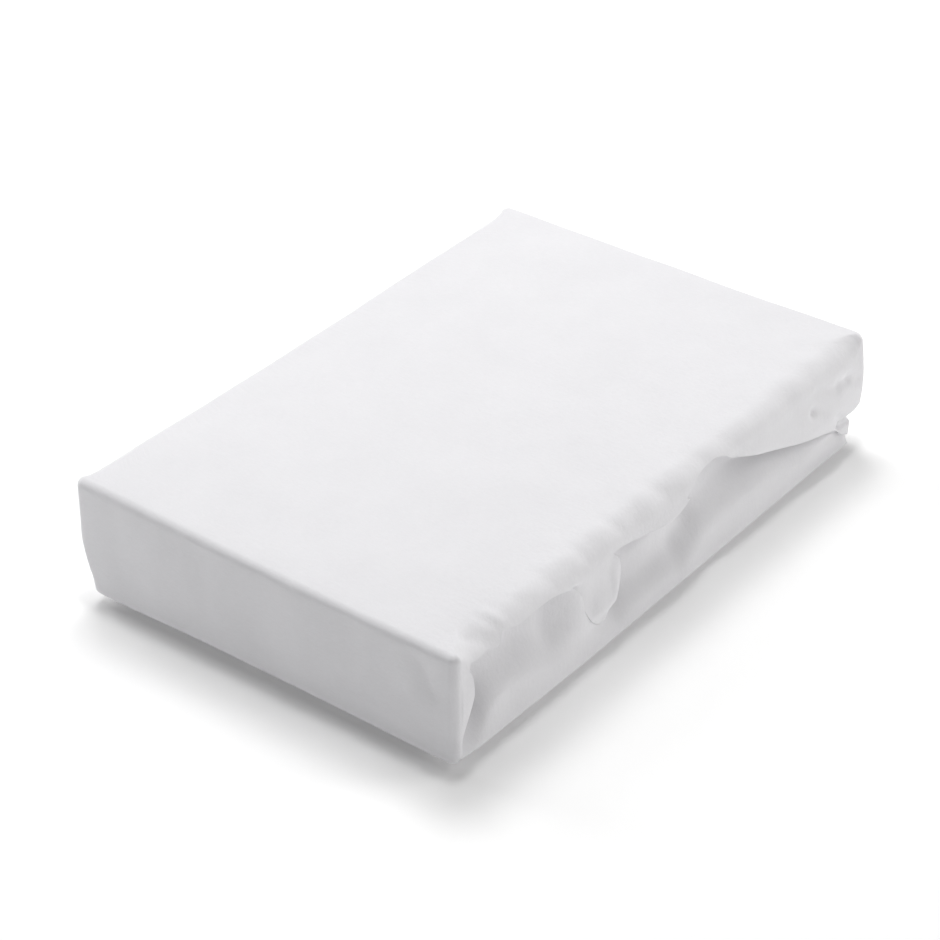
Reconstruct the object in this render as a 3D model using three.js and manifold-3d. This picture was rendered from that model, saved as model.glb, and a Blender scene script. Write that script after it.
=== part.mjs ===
// A fitted mattress protector of soft brushed cotton, folded into a flat packet that lies on a surface.
// The cloth is one piece: a cover that is smooth over the top and down the front, and that hangs with
// a wavy hem on the other sides, and below the front fold the same cloth going back and forth inside.
// Millimetres, +Z up. The front is at -X, the open side at -Y, the back at +X and the far side at +Y.
// The origin is the centre of the packet's footprint, on the surface that it lies on.
import * as THREE from "three";
import { mergeVertices } from "three/addons/utils/BufferGeometryUtils.js";
import Module from "manifold-3d";

// Driving dimensions
const LENGTH = 362;
const WIDTH = 240;
const HEIGHT = 69.5;
const PLY = 2.4; // the cloth lies doubled, so this is two layers
const AIR = 0.95; // between one ply and the next
const PITCH = PLY + AIR;
const PASSES = 20; // plies that lie one on the other under the cover
const CLOTH_COLOUR = 0xe9e9ea;

// The cover: its corners seen from above, and the roll of its top edge on each side
const PLAN_CORNER = 5;
const INNER_CORNER = 0.8; // a corner of the top panel, inside the roll of the edge
const OPEN_EDGE = 10;
const BACK_EDGE = 4;
const FAR_EDGE = 9;
const FRONT_EDGE = 4.5;
const HEM_TAIL = 1.2; // what is left of the cloth below the roll where the hem ends on it
const EDGE_STEPS = 3;
const SKIRT_STEPS = 5;
const CORNER_STEPS = 3;
const PANEL_INSETS = [84, 48, 22]; // rings of the top panel
const PANEL_SPINE = [-52, 0, 52]; // points along the middle of the top panel

// The front fold: the cover ends here and the folded stack takes over as the same cloth
const JOIN_HEIGHT = 14;
const JOIN_LAP = 1.5;
const JOIN_SLIVER = 0.03; // faces thinner than this along the join are merged away
const JOIN_SKIN = 0.12; // how much thinner the stack's first edge is, inside the cover's own thickness
const FRONT_DROP = HEIGHT - JOIN_HEIGHT;
const FOOT_RADIUS = 9;
const FOOT_STEPS = 4;

// The wavy hem of the cover along the open side, from the front corner to the back corner.
// top: where a thread leaves the top edge, foot: where it ends, drop: how far down the hem is there.
const OPEN_HEM = [
  { top: 7.0, foot: 5.8, drop: 52.0 },
  { top: 7.7, foot: 8.6, drop: 45.0 },
  { top: 8.4, foot: 12.4, drop: 36.0 },
  { top: 9.0, foot: 14.2, drop: 28.5 },
  { top: 9.6, foot: 13.2, drop: 20.0 },
  { top: 10.9, foot: 11.2, drop: 12.5 },
  { top: 12.6, foot: 12.8, drop: 9.2 },
  { top: 18.0, foot: 18.0, drop: 10.6 },
  { top: 26.0, foot: 26.0, drop: 11.2 },
  { top: 37.0, foot: 37.0, drop: 9.6 },
  { top: 50.0, foot: 50.0, drop: 9.0 },
  { top: 63.0, foot: 63.0, drop: 8.8 },
  { top: 75.0, foot: 75.0, drop: 9.2 },
  { top: 86.0, foot: 86.0, drop: 11.4 },
  { top: 94.0, foot: 94.0, drop: 15.0 },
  { top: 101.0, foot: 100.0, drop: 24.0 },
  { top: 107.0, foot: 106.0, drop: 37.0 },
  { top: 112.5, foot: 112.0, drop: 47.0 },
  { top: 117.2, foot: 118.0, drop: 51.0 },
  { top: 120.4, foot: 123.0, drop: 49.5 },
  { top: 121.9, foot: 126.0, drop: 42.0 },
  { top: 123.0, foot: 129.2, drop: 35.5 },
  { top: 124.0, foot: 131.6, drop: 29.0 },
  { top: 125.0, foot: 131.9, drop: 22.0 },
  { top: 126.2, foot: 130.4, drop: 16.0 },
  { top: 127.8, foot: 128.9, drop: 11.9 },
  { top: 133.0, foot: 133.4, drop: 11.3 },
  { top: 140.0, foot: 140.0, drop: 12.6 },
  { top: 150.0, foot: 150.0, drop: 15.0 },
  { top: 162.0, foot: 162.0, drop: 17.4 },
  { top: 174.0, foot: 175.0, drop: 19.0 },
  { top: 184.0, foot: 187.0, drop: 17.4 },
  { top: 192.0, foot: 195.6, drop: 12.6 },
  { top: 200.0, foot: 202.0, drop: 8.2 },
  { top: 209.0, foot: 209.0, drop: 6.2 },
  { top: 219.0, foot: 219.0, drop: 5.8 },
  { top: 226.0, foot: 226.4, drop: 7.4 },
  { top: 233.0, foot: 234.0, drop: 11.8 },
  { top: 243.0, foot: 244.0, drop: 16.8 },
  { top: 255.0, foot: 255.0, drop: 21.8 },
  { top: 270.0, foot: 270.0, drop: 27.6 },
  { top: 285.0, foot: 285.0, drop: 33.4 },
  { top: 300.0, foot: 300.0, drop: 38.6 },
  { top: 315.0, foot: 315.0, drop: 43.0 },
  { top: 330.0, foot: 329.0, drop: 48.0 },
  { top: 342.0, foot: 341.0, drop: 51.5 },
  { top: 352.0, foot: 351.0, drop: 52.0 },
];
// The hem along the far side, from the back corner to the front corner, and along the back.
const FAR_HEM = [
  { top: 8, foot: 8, drop: 45 },
  { top: 18, foot: 19, drop: 38 },
  { top: 32, foot: 34, drop: 27 },
  { top: 50, foot: 52, drop: 20 },
  { top: 75, foot: 76, drop: 17 },
  { top: 105, foot: 105, drop: 21 },
  { top: 135, foot: 134, drop: 25 },
  { top: 165, foot: 165, drop: 20 },
  { top: 195, foot: 196, drop: 16 },
  { top: 225, foot: 225, drop: 18 },
  { top: 255, foot: 254, drop: 23 },
  { top: 285, foot: 285, drop: 20 },
  { top: 312, foot: 312, drop: 17 },
  { top: 330, foot: 329, drop: 19 },
  { top: 341, foot: 338, drop: 29 },
  { top: 347, foot: 344, drop: 40 },
  { top: 351, foot: 350, drop: 50 },
];
const BACK_HEM = [
  { top: 8, foot: 8, drop: 46 },
  { top: 40, foot: 40, drop: 46 },
  { top: 80, foot: 81, drop: 47.5 },
  { top: 119, foot: 119, drop: 46.5 },
  { top: 158, foot: 157, drop: 45 },
  { top: 198, foot: 198, drop: 46.5 },
  { top: 230, foot: 230, drop: 46 },
];
// The back hem turns under in a curl.
const CURL_RADIUS = 5.5;
const CURL_TURN = (130 * Math.PI) / 180;
const FRONT_POINTS = 9;
// The hem round each corner of the cover, by the quarter of the plan that it is in, against the clock.
const CORNERS = {
  openBack: { quarter: 3, dropFrom: 51, dropTo: 47, curlFrom: 0.1, curlTo: 0.3 },
  backFar: { quarter: 0, dropFrom: 46, dropTo: 45, curlFrom: 0.3, curlTo: 0.1 },
  farFront: { quarter: 1, dropFrom: 54.6, dropTo: FRONT_DROP, curlFrom: 0, curlTo: 0 },
  frontOpen: { quarter: 2, dropFrom: FRONT_DROP, dropTo: 54.6, curlFrom: 0, curlTo: 0 },
};
const EDGE_EASE = 16; // how far from a corner the roll of an edge takes to open out

// Swells of the cover's open side: x along it, down from the top, half sizes, and how far out.
const COVER_SWELLS = [
  { x: 9, down: 26, wide: 8, tall: 13, out: 0.8 },
  { x: 112, down: 34, wide: 16, tall: 18, out: 2.2 },
  { x: 127, down: 28, wide: 6, tall: 18, out: 1.6 },
  { x: 176, down: 17, wide: 22, tall: 8, out: 1.4 },
  { x: 262, down: 18, wide: 34, tall: 12, out: 1.2 },
  { x: 318, down: 30, wide: 24, tall: 15, out: 2.4 },
];

// The flap of the bottom ply that stands up behind the cover's hem, on the open and on the far side
const FLAP_FOOT = PLAN_CORNER; // radius of the bottom edge, which turns into that of the front corners
const OPEN_FLAP = 60;
const FAR_FLAP = 24;
const FRONT_REACH = 8.4; // how far the front fold reaches round its two corners
const FLAP_STUB = 1.5; // the least that stands up from a foot
const FLAP_START = 10; // from the front, where the flap rises to its full height
const FLAP_END = 350;
const FLAP_STOP = 2; // past its last station the flap drops to a low rim
const FLAP_SLOPE = [0.35, 0.7]; // how far it has risen on its way up at either end
const FLAP_STATIONS = [
  10, 13, 17, 22, 30, 40, 52, 65, 80, 95, 110, 122, 130, 138, 147, 158, 170, 184, 198, 210, 222, 236, 252,
  268, 284, 300, 315, 328, 340, 350,
];
const FLAP_LEAN = { by: -2.6, over: 20, from: 12, to: 34 }; // near the front it fans out behind the cover
const FAR_RECESS = { by: 2.6, from: 4, to: 16 }; // how far in the far flap stands, from its foot up
const FLAP_ROWS = { foot: CORNER_STEPS, open: 6, far: 3 }; // rows of points round the foot and up each flap
const FLAT_LINE = WIDTH / 6; // where the flat of the bottom ply has its points
// How far the flap lies inside the cover's outer face: at its foot, and growing with height.
const FLAP_RECESS = [
  { z: 0, in: 0 },
  { z: 6, in: 0.2 },
  { z: 15, in: 3.4 },
  { z: 45, in: 5.2 },
  { z: 62, in: 9.0 },
];
const BACK_RECESS = { by: 3.4, from: 262, to: 322 }; // at the back the foot of the flap is set in too
const HOLLOW_START = 8; // the flap's hollows fade in over this height
const FLAP_HOLLOWS = [
  { x: 17, z: 36, wide: 10, tall: 22, in: 5.5 },
  { x: 60, z: 46, wide: 34, tall: 13, in: 2.8 },
  { x: 100, z: 22, wide: 18, tall: 14, in: -1.2 },
  { x: 139, z: 34, wide: 9, tall: 17, in: 4.6 },
  { x: 172, z: 44, wide: 20, tall: 12, in: 2.6 },
  { x: 214, z: 46, wide: 22, tall: 14, in: 3.4 },
  { x: 196, z: 20, wide: 26, tall: 10, in: -1.0 },
  { x: 290, z: 24, wide: 40, tall: 10, in: 1.6 },
];

// The folded stack: how far it stays inside the cover, and where each fold turns, from the front.
const STACK_INSET = 14.5;
const STACK_LINES = 3;
const FOLD_STEPS = 4;
const PASS_STEPS = 4;
const FRONT_FOLDS = [11, 5.2, 4.4, 3.8, 4.6, 3.9, 5.0, 4.2, 3.8]; // the turns nearest the front, upwards
const BACK_FOLDS = [358.5, 359.5, 342, 347.5, 354, 355.6, 353.4, 355.8, 354.2, 355.2]; // and nearest the back
const FREE_END = 118; // where the last ply ends
// The shares of a ring's way round that its two faces, their flaps and the two cut edges take
const HALF_RING = 0.49;
const END_SHARE = 0.01;
const FLAP_SHARE = 0.03;
// The second fold at the back is a soft bulb that shows below the cover.
const BULB = { fold: 1, radius: 2.3, run: 8, slope: -0.2 };

// How the real packet departs from a neat one: the same shift for the cover and all that it holds
const CROWN = 1.0;
const FRONT_LIFT = { by: 6.0, over: 58, more: 96 }; // the underside curves up to the front edge
const SIDE_LIFT = { by: 2.6, over: 42 }; // and less to the long edges
const CORNER_RISE = [
  { x: -180, y: 119, by: 3.4, over: 100 },
  { x: 180, y: -119, by: 1.2, over: 60 },
];
const BACK_BULGE = { by: 4.2, z: 36, tall: 26, over: 34 };
const SIDE_BULGE = { by: 2.2, z: 38, tall: 24, x: 352, over: 46 };
const FAR_TUCK = { by: 7, z: 0, tall: 34, over: 30 };

// Small helpers

const clamp01 = (t) => Math.min(1, Math.max(0, t));
const smooth = (t) => clamp01(t) ** 2 * (3 - 2 * clamp01(t));
const mix = (a, b, t) => a + (b - a) * t;
const bell = (d, size) => Math.exp(-((d / size) ** 2));

// A value of a table that is ordered by one column, straight between its rows.
function lookUp(rows, key, value, at) {
  if (at <= rows[0][key]) return rows[0][value];
  for (let i = 1; i < rows.length; i++) {
    if (at > rows[i][key]) continue;
    const t = (at - rows[i - 1][key]) / (rows[i][key] - rows[i - 1][key]);
    return mix(rows[i - 1][value], rows[i][value], smooth(t));
  }
  return rows[rows.length - 1][value];
}

// From 0 to 1 between two places of a row that names them from and to.
function easeBetween(row, at) {
  return smooth((at - row.from) / (row.to - row.from));
}

// The packet's own slump, as a shift of any point of the neat packet.
function settle([x, y, z]) {
  const up = z / HEIGHT;
  const fromFront = x + LENGTH / 2;
  const across = Math.abs(y) / (WIDTH / 2);
  const along = Math.abs(x) / (LENGTH / 2);
  const crown = CROWN * ((1 - across ** 4) * (1 - along ** 4) - 0.4) * up;
  const liftOver = FRONT_LIFT.over + FRONT_LIFT.more * across ** 3;
  const frontLift = FRONT_LIFT.by * (1 - smooth(fromFront / liftOver));
  const sideLift = SIDE_LIFT.by * (1 - smooth((WIDTH / 2 - Math.abs(y)) / SIDE_LIFT.over));
  const lift = Math.hypot(frontLift, sideLift) * (1 - up);
  let rise = 0;
  for (const c of CORNER_RISE) rise += c.by * bell(Math.hypot(x - c.x, y - c.y), c.over) * up;
  const nearBack = bell(x - LENGTH / 2, BACK_BULGE.over);
  const nearOpen = (1 - y / (WIDTH / 2)) / 2;
  const back = BACK_BULGE.by * nearBack * bell(z - BACK_BULGE.z, BACK_BULGE.tall) * nearOpen;
  const nearCorner = bell(fromFront - SIDE_BULGE.x, SIDE_BULGE.over) * Math.max(0, -y / (WIDTH / 2)) ** 3;
  const side = SIDE_BULGE.by * nearCorner * bell(z - SIDE_BULGE.z, SIDE_BULGE.tall);
  const nearFar = smooth((y - WIDTH / 2 + FAR_TUCK.over) / FAR_TUCK.over);
  const nearFront = 1 - smooth(fromFront / (2 * FAR_TUCK.over));
  const tuck = FAR_TUCK.by * nearFar * nearFront * (1 - smooth((z - FAR_TUCK.z) / FAR_TUCK.tall));
  return [x + back, y - side - tuck, z + crown + rise + lift];
}

// Joins closed rings of points into one closed body. Rings may differ in how many points they have:
// between two that do, the triangles walk round both at the same pace. Each point is {at, share}, and
// a ring that isn't walked at an even pace may close early.
class Skin {
  constructor() {
    this.points = [];
    this.faces = [];
  }

  ring(points) {
    const first = this.points.length / 3;
    for (const { at } of points) this.points.push(...settle(at));
    return points.map((p, i) => ({ id: first + i, share: p.share }));
  }

  join(a, b, closeA = 1, closeB = 1) {
    let i = 0;
    let j = 0;
    while (i < a.length || j < b.length) {
      const nextA = i < a.length ? (a[i + 1]?.share ?? closeA) : Infinity;
      const nextB = j < b.length ? (b[j + 1]?.share ?? closeB) : Infinity;
      const p = a[i % a.length].id;
      const q = b[j % b.length].id;
      if (nextA <= nextB) {
        this.faces.push([p, q, a[(i + 1) % a.length].id]);
        i++;
      } else {
        this.faces.push([p, q, b[(j + 1) % b.length].id]);
        j++;
      }
    }
  }

  // Closes a ring whose two halves lie face to face, as a sheet's cut edge does.
  close(ring, reversed) {
    for (let i = 0; i < ring.length / 2 - 1; i++) {
      const [a, b] = [ring[i].id, ring[i + 1].id];
      const [c, d] = [ring[ring.length - 1 - i].id, ring[ring.length - 2 - i].id];
      const pair = [
        [a, b, c],
        [b, d, c],
      ];
      for (const f of pair) this.faces.push(reversed ? f : [f[0], f[2], f[1]]);
    }
  }

  geometry() {
    const made = new THREE.BufferGeometry();
    made.setAttribute("position", new THREE.Float32BufferAttribute(this.points, 3));
    made.setIndex(this.faces.filter(([a, b, c]) => a !== b && b !== c && a !== c).flat());
    return made;
  }
}

// The cover: stations round the packet, each with its place, its outward direction and its hem

function coverStations() {
  const stations = [];
  const side = (name, length, hem, edge, curl, place) => {
    for (const row of hem) {
      const near = Math.min(row.top, length - row.top) / EDGE_EASE;
      const roll = mix(FRONT_EDGE, edge, smooth(near));
      const lean = row.foot - row.top;
      stations.push({ name, length, along: row.top, lean, drop: row.drop, roll, curl, place });
    }
  };
  const corner = ({ quarter, dropFrom, dropTo, curlFrom, curlTo }) => {
    for (let i = 0; i <= CORNER_STEPS; i++) {
      const t = i / CORNER_STEPS;
      const drop = mix(dropFrom, dropTo, smooth(t));
      const angle = (quarter + t) * (Math.PI / 2);
      stations.push({ quarter, angle, lean: 0, drop, roll: FRONT_EDGE, curl: mix(curlFrom, curlTo, t) });
    }
  };
  const frontHem = Array.from({ length: FRONT_POINTS }, (_, i) => {
    const top = mix(PLAN_CORNER + 1, WIDTH - PLAN_CORNER - 1, i / (FRONT_POINTS - 1));
    return { top, foot: top, drop: FRONT_DROP };
  });
  side("open", LENGTH, OPEN_HEM, OPEN_EDGE, 0, (a, d) => [a - LENGTH / 2, d - WIDTH / 2, 0, -1]);
  corner(CORNERS.openBack);
  side("back", WIDTH, BACK_HEM, BACK_EDGE, 1, (a, d) => [LENGTH / 2 - d, a - WIDTH / 2, 1, 0]);
  corner(CORNERS.backFar);
  side("far", LENGTH, FAR_HEM, FAR_EDGE, 0, (a, d) => [LENGTH / 2 - a, WIDTH / 2 - d, 0, 1]);
  corner(CORNERS.farFront);
  side("front", WIDTH, frontHem, FRONT_EDGE, 0, (a, d) => [d - LENGTH / 2, WIDTH / 2 - a, -1, 0]);
  corner(CORNERS.frontOpen);
  return stations;
}

// Where a station stands in plan, moved in from the packet's outline, and its outward direction.
function planPoint(station, inset) {
  const radius = Math.max(PLAN_CORNER - inset, INNER_CORNER);
  const reach = inset + radius;
  if (station.quarter === undefined) {
    const t = (station.along - PLAN_CORNER) / (station.length - 2 * PLAN_CORNER);
    return station.place(mix(reach, station.length - reach, t), inset);
  }
  const [nx, ny] = [Math.cos(station.angle), Math.sin(station.angle)];
  const diagonal = (station.quarter + 0.5) * (Math.PI / 2);
  const cx = Math.sign(Math.cos(diagonal)) * (LENGTH / 2 - reach);
  const cy = Math.sign(Math.sin(diagonal)) * (WIDTH / 2 - reach);
  return [cx + radius * nx, cy + radius * ny, nx, ny];
}

// How far the cover's open side stands out at a place on it.
function coverSwell(x, down) {
  let out = 0;
  for (const s of COVER_SWELLS) out += s.out * bell(x - s.x, s.wide) * bell(down - s.down, s.tall);
  return out;
}

// How far the cover turns over its edge: right down, or less where the hem ends on the roll.
function fullTurn(station) {
  const cut = 1 - (station.drop - HEM_TAIL) / station.roll;
  return cut > 0 ? Math.acos(cut) : Math.PI / 2;
}

// A point of the cover on its outer face, or a ply's thickness inside it.
function edgePoint(station, share, deep) {
  const turn = share * fullTurn(station);
  const inset = station.roll * (1 - Math.sin(turn));
  const [x, y, nx, ny] = planPoint(station, inset);
  const z = HEIGHT - station.roll * (1 - Math.cos(turn));
  const [s, c] = [Math.sin(turn), Math.cos(turn)];
  return [x - nx * s * deep, y - ny * s * deep, z - c * deep];
}

function skirtPoint(station, share, deep) {
  const turn = fullTurn(station);
  if (turn < Math.PI / 2) {
    const [x, y, z] = edgePoint(station, 1, deep);
    const [, , nx, ny] = planPoint(station, 0);
    const run = share * HEM_TAIL;
    return [x + nx * run * Math.cos(turn), y + ny * run * Math.cos(turn), z - run * Math.sin(turn)];
  }
  const [x, y, nx, ny] = planPoint(station, 0);
  const straight = station.drop - station.roll;
  const curl = station.curl * CURL_RADIUS * CURL_TURN;
  const run = share * (straight + curl);
  const down = station.roll + Math.min(run, straight);
  const slide = station.lean * smooth(Math.min(1, run / straight));
  let swell = 0;
  if (station.name === "open") swell = coverSwell(station.along + slide, down) * smooth(run / straight);
  const [px, py] = [x - ny * slide, y + nx * slide];
  const turned = station.curl > 0 ? Math.max(0, run - straight) / CURL_RADIUS : 0;
  const out = swell - CURL_RADIUS * (1 - Math.cos(turned));
  const z = HEIGHT - down - CURL_RADIUS * Math.sin(turned);
  const [s, c] = [Math.sin(turned), Math.cos(turned)];
  return [px + nx * (out - c * deep), py + ny * (out - c * deep), z + s * deep];
}

function coverSkin() {
  const skin = new Skin();
  const stations = coverStations();
  const shares = stations.map((_, i) => i / stations.length);
  const surface = (deep) => {
    const rings = PANEL_INSETS.map((inset) =>
      stations.map((s) => {
        const [x, y] = planPoint(s, inset);
        return [x, y, HEIGHT - deep];
      }),
    );
    for (let i = 0; i <= EDGE_STEPS; i++) {
      rings.push(stations.map((s) => edgePoint(s, i / EDGE_STEPS, deep)));
    }
    for (let i = 1; i <= SKIRT_STEPS; i++) {
      rings.push(stations.map((s) => skirtPoint(s, i / SKIRT_STEPS, deep)));
    }
    return rings.map((ring) => skin.ring(ring.map((at, k) => ({ at, share: shares[k] }))));
  };
  // The middle of the panel is a line that its innermost ring walks out along and back.
  const middle = (deep, nearest) => {
    const ids = skin.ring(PANEL_SPINE.map((x) => ({ at: [x, 0, HEIGHT - deep], share: 0 })));
    const shareNear = (x, onOpen) => {
      const wrongSide = (k) => (skin.points[3 * k.id + 1] > 0 === onOpen ? LENGTH : 0);
      const far = (k) => Math.abs(skin.points[3 * k.id] - x) + wrongSide(k);
      return nearest.reduce((a, b) => (far(b) < far(a) ? b : a)).share;
    };
    const out = ids.map(({ id }, i) => ({ id, share: i === 0 ? 0 : shareNear(PANEL_SPINE[i], true) }));
    const back = ids.map(({ id }, i) => ({ id, share: shareNear(PANEL_SPINE[i], false) })).reverse();
    return { walk: [...out, ...back.slice(1, -1)], close: back[back.length - 1].share };
  };
  const outer = surface(0);
  const inner = surface(PLY);
  const [top, under] = [middle(0, outer[0]), middle(PLY, inner[0])];
  skin.join(top.walk, outer[0], top.close);
  for (let i = 1; i < outer.length; i++) skin.join(outer[i - 1], outer[i]);
  skin.join(outer[outer.length - 1], inner[inner.length - 1]);
  for (let i = inner.length - 1; i > 0; i--) skin.join(inner[i], inner[i - 1]);
  skin.join(inner[0], under.walk, 1, under.close);
  return skin;
}

// The stack: a walk along its section, seen from the open side, as places and directions

// One turn of the section through half a circle, from ply to ply, or wider where it makes a bulb.
function foldPath(path, end, z, toBack, bulb) {
  const sign = toBack ? 1 : -1;
  const radius = bulb ? bulb.radius : PITCH / 2;
  const middle = z + PITCH / 2;
  const centre = end - sign * (radius + PLY / 2);
  if (bulb) {
    path.push({ x: centre - sign * bulb.run, z, tx: sign, tz: 0 });
    path.push({ x: centre - (sign * bulb.run) / 2, z: (z + middle - radius) / 2, tx: sign, tz: bulb.slope });
  }
  for (let i = 0; i <= FOLD_STEPS; i++) {
    const a = (i / FOLD_STEPS) * Math.PI;
    path.push({
      x: centre + sign * radius * Math.sin(a),
      z: middle - radius * Math.cos(a),
      tx: sign * Math.cos(a),
      tz: Math.sin(a),
    });
  }
  if (bulb) {
    const above = (z + PITCH + middle + radius) / 2;
    path.push({ x: centre - (sign * bulb.run) / 2, z: above, tx: -sign, tz: bulb.slope });
    path.push({ x: centre - sign * bulb.run, z: z + PITCH, tx: -sign, tz: 0 });
  }
}

function stackPath() {
  const path = [];
  foldPath(path, BACK_FOLDS[0], PLY / 2, true, null);
  for (let k = 1; k < PASSES; k++) {
    const toBack = k % 2 === 0;
    const fold = Math.floor(k / 2);
    const z = PLY / 2 + k * PITCH;
    const tx = toBack ? 1 : -1;
    const bulb = toBack && fold === BULB.fold ? BULB : null;
    const clear = bulb ? bulb.radius + PLY / 2 + bulb.run : PITCH;
    const end = toBack ? BACK_FOLDS[fold] : FRONT_FOLDS[fold];
    const last = k === PASSES - 1;
    const from = path[path.length - 1].x;
    const to = last ? FREE_END : end - tx * clear;
    for (let i = 1; i < PASS_STEPS; i++) path.push({ x: mix(from, to, i / PASS_STEPS), z, tx, tz: 0 });
    if (last) path.push({ x: to, z, tx, tz: 0 });
    else foldPath(path, end, z, toBack, bulb);
  }
  return path;
}

// How far in the flap stands at a place, from the cover's outer face.
function flapRecess(x, z) {
  let deep = lookUp(FLAP_RECESS, "z", "in", z);
  deep = Math.max(deep, BACK_RECESS.by * easeBetween(BACK_RECESS, x));
  const above = smooth(z / HOLLOW_START);
  for (const h of FLAP_HOLLOWS) deep += above * h.in * bell(x - h.x, h.wide) * bell(z - h.z, h.tall);
  return deep;
}

// One ring of the bottom ply: its flat middle, and on each long side a rounded foot and a flap.
// The ply's outer face lies at place (x, z) of the section, facing (ox, oz).
// Where it stands up as a flap, it is set in behind the cover's hem.
function flapRing(place, reach, skin, stands) {
  const { x, z, ox, oz } = place;
  const at = (out, y) => [x - LENGTH / 2 - ox * out, y, z - oz * out];
  const lines = [];
  const flap = (sign, height, upright) => {
    const rows = [];
    const foot = Math.min(FLAP_FOOT, height - FLAP_STUB);
    for (let i = 1; i <= FLAP_ROWS.foot; i++) {
      const a = (i / FLAP_ROWS.foot) * (Math.PI / 2);
      const y = sign * (WIDTH / 2 - foot * (1 - Math.sin(a)));
      rows.push({ y, out: foot * (1 - Math.cos(a)), ny: sign * Math.sin(a), n: Math.cos(a) });
    }
    for (let i = 1; i <= upright; i++) {
      rows.push({ y: (sign * WIDTH) / 2, out: mix(foot, height, i / upright), ny: sign, n: 0 });
    }
    return rows;
  };
  const open = flap(-1, reach.open, FLAP_ROWS.open);
  const far = flap(1, reach.far, FLAP_ROWS.far);
  const flat = [WIDTH / 2 - FLAP_FOOT, FLAT_LINE, -FLAT_LINE, FLAP_FOOT - WIDTH / 2];
  for (const row of far.reverse()) lines.push(row);
  for (const y of flat) lines.push({ y, out: 0, ny: 0, n: 1 });
  for (const row of open) lines.push(row);
  const half = (deep) =>
    lines.map((row) => {
      let [inward, slide] = [0, 0];
      if (stands && row.ny < 0) {
        inward = flapRecess(x, row.out) * (1 - row.n);
        slide = FLAP_LEAN.by * bell(x - FLAP_START, FLAP_LEAN.over) * easeBetween(FLAP_LEAN, row.out);
      }
      if (stands && row.ny > 0) inward = -FAR_RECESS.by * easeBetween(FAR_RECESS, row.out);
      const [px, py, pz] = at(row.out + row.n * deep, row.y + inward - row.ny * deep);
      return [px + slide, py, pz];
    });
  const shares = lines.map((row, i) => {
    if (row.ny === 0) return rowShare(row.y / (WIDTH / 2));
    const [edge, count] = row.ny > 0 ? [0, far.length] : [1, open.length];
    const step = row.ny > 0 ? i / count : (i - lines.length + 1) / count;
    return edge + step * FLAP_SHARE;
  });
  return bothFaces(half(skin), half(PLY - skin), shares);
}

// How far round half a ring a point of the ply's width is, from the far side (1) to the open side (-1).
function rowShare(across) {
  return FLAP_SHARE + (1 - 2 * FLAP_SHARE) * ((1 - across) / 2);
}

// A ring that runs along one face of a ply and back along the other.
function bothFaces(face, otherFace, shares) {
  const there = face.map((at, i) => ({ at, share: HALF_RING * shares[i] }));
  const back = otherFace.map((at, i) => ({ at, share: 1 - END_SHARE - HALF_RING * shares[i] }));
  return [...there, ...back.reverse()];
}

// One ring of a ply inside the stack.
function plyRing({ x, z, tx, tz }) {
  const size = Math.hypot(tx, tz);
  const [ox, oz] = [tz / size, -tx / size];
  const end = WIDTH / 2 - STACK_INSET;
  const ys = Array.from({ length: STACK_LINES + 1 }, (_, i) => mix(end, -end, i / STACK_LINES));
  const half = (side) =>
    ys.map((y) => [x - LENGTH / 2 + (ox * side * PLY) / 2, y, z + (oz * side * PLY) / 2]);
  return bothFaces(half(1), half(-1), ys.map((y) => rowShare(y / end)));
}

function stackSkin() {
  const skin = new Skin();
  const rings = [];
  const corner = { open: FRONT_REACH, far: FRONT_REACH };
  const rim = { open: FLAP_FOOT + FLAP_STUB, far: FLAP_FOOT + FLAP_STUB };
  rings.push(flapRing({ x: 0, z: JOIN_HEIGHT + JOIN_LAP, ox: -1, oz: 0 }, corner, JOIN_SKIN, false));
  rings.push(flapRing({ x: 0, z: JOIN_HEIGHT - JOIN_LAP, ox: -1, oz: 0 }, corner, JOIN_SKIN, false));
  for (let i = 0; i <= FOOT_STEPS; i++) {
    const a = (i / FOOT_STEPS) * (Math.PI / 2);
    const x = FOOT_RADIUS * (1 - Math.cos(a));
    const z = FOOT_RADIUS * (1 - Math.sin(a));
    rings.push(flapRing({ x, z, ox: -Math.cos(a), oz: -Math.sin(a) }, corner, 0, false));
  }
  const flat = (x, reach) => rings.push(flapRing({ x, z: 0, ox: 0, oz: -1 }, reach, 0, true));
  const partUp = (low, t) => ({ open: mix(low.open, OPEN_FLAP, t), far: mix(low.far, FAR_FLAP, t) });
  for (const t of FLAP_SLOPE) flat(mix(FOOT_RADIUS, FLAP_START, t), partUp(corner, t));
  for (const x of FLAP_STATIONS) flat(x, partUp(rim, 1));
  for (const t of [...FLAP_SLOPE].reverse()) flat(mix(FLAP_END + FLAP_STOP, FLAP_END, t), partUp(rim, t));
  flat(FLAP_END + FLAP_STOP, rim);
  for (const place of stackPath()) rings.push(plyRing(place));
  const ids = rings.map((ring) => skin.ring(ring));
  for (let i = 1; i < ids.length; i++) skin.join(ids[i - 1], ids[i]);
  skin.close(ids[0], true);
  skin.close(ids[ids.length - 1], false);
  return skin;
}

// The cover and the stack are one piece of cloth, so they are joined into one solid.

const wasm = await Module();
wasm.setup();

function solidOf(geometry) {
  const merged = mergeVertices(geometry, 1e-3);
  const vertProperties = merged.attributes.position.array;
  const triVerts = new Uint32Array(merged.index.array);
  return new wasm.Manifold(new wasm.Mesh({ numProp: 3, vertProperties, triVerts }));
}

function geometryOf(solid) {
  const { numProp, vertProperties, triVerts } = solid.getMesh();
  const points = new Float32Array((vertProperties.length / numProp) * 3);
  for (let i = 0; i < points.length / 3; i++) {
    points.set(vertProperties.subarray(i * numProp, i * numProp + 3), i * 3);
  }
  const made = new THREE.BufferGeometry();
  made.setAttribute("position", new THREE.BufferAttribute(points, 3));
  made.setIndex(new THREE.BufferAttribute(triVerts, 1));
  return made;
}

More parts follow.
